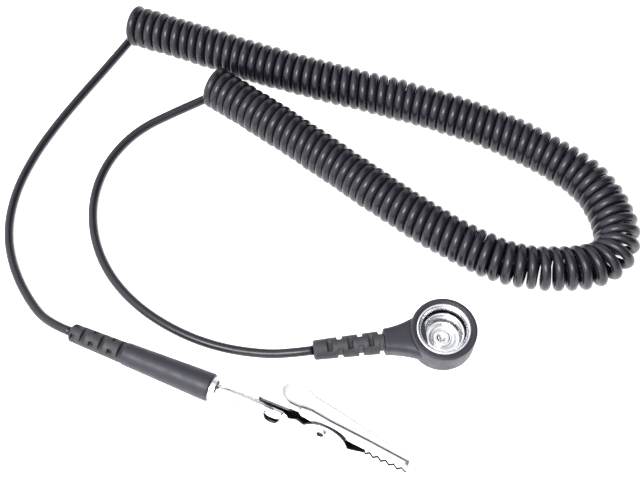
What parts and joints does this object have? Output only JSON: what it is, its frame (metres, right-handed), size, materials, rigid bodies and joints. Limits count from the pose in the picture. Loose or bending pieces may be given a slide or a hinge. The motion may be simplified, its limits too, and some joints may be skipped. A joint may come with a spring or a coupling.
{
  "type": "wrist strap grounding cord",
  "caption": "Curly grounding cord for a wrist strap, with a snap socket head on one lead and a banana plug carrying a crocodile clip on the other.",
  "frame": {"origin": "centre of the snap head's flat back, on the surface the cord lies on", "axes": "+Z out of the snap socket's mouth; +X along the object's length, from the plug's strain relief towards the snap head; +Y from the plug towards the coil"},
  "size_m": [0.1747, 0.144, 0.0148],
  "materials": {
    "cord_jacket": "satin extruded polyurethane",
    "moulding": "satin moulded",
    "strain_relief": "fine grained moulded",
    "nickel_plate": "bright nickel plate on brass",
    "spring_wire": "drawn spring steel",
    "spring_leaf": "nickelled beryllium copper",
    "tinned_brass": "tinned",
    "resistor_coat": "lacquer",
    "clip_steel": "nickel plated pressed steel",
    "rivet_steel": "nickel plated"
  },
  "bodies": {
    "cord_set": {"snap_housing": "moulding", "snap_strain_relief": "strain_relief", "snap_socket_cup": "nickel_plate", "snap_spring_ring": "spring_wire", "snap_rivet": "nickel_plate", "snap_terminal": "tinned_brass", "series_resistor": "resistor_coat", "resistor_wires": "tinned_brass", "snap_crimp": "tinned_brass", "cord_end_snap": "cord_jacket", "plug_handle": "moulding", "plug_strain_relief": "strain_relief", "plug_collar": "nickel_plate", "plug_pin": "nickel_plate", "plug_tip": "nickel_plate", "plug_ferrule": "tinned_brass", "cord_end_plug": "cord_jacket", "lead_plug_side": "cord_jacket", "curly_section": "cord_jacket", "lead_snap_side": "cord_jacket"},
    "spring_cage": {"plug_spring_cage": "spring_leaf"},
    "clip_base": {"clip_lower_jaw": "clip_steel", "clip_pivot_rivet": "rivet_steel", "clip_spring": "spring_wire"},
    "upper_jaw": {"clip_upper_jaw": "clip_steel"}
  },
  "joints": [
    {"name": "cage_spin", "type": "hinge", "parent": "cord_set", "child": "spring_cage", "pos_m": [-0.05232, -0.01779, 0.0041], "axis": [0.9245, -0.3811, 0], "continuous": true},
    {"name": "clip_slide", "type": "slide", "parent": "cord_set", "child": "clip_base", "axis": [0.9245, -0.3811, 0], "range_m": [0, 0.012]},
    {"name": "jaw_pivot", "type": "hinge", "parent": "clip_base", "child": "upper_jaw", "pos_m": [-0.03051, -0.02496, 0.00773], "axis": [-0.3454, -0.8379, 0.4226], "range_deg": [0, 17], "stiffness_Nm_per_rad": 0.25, "springref_deg": -28.65, "deforming": ["clip_spring"]}
  ]
}
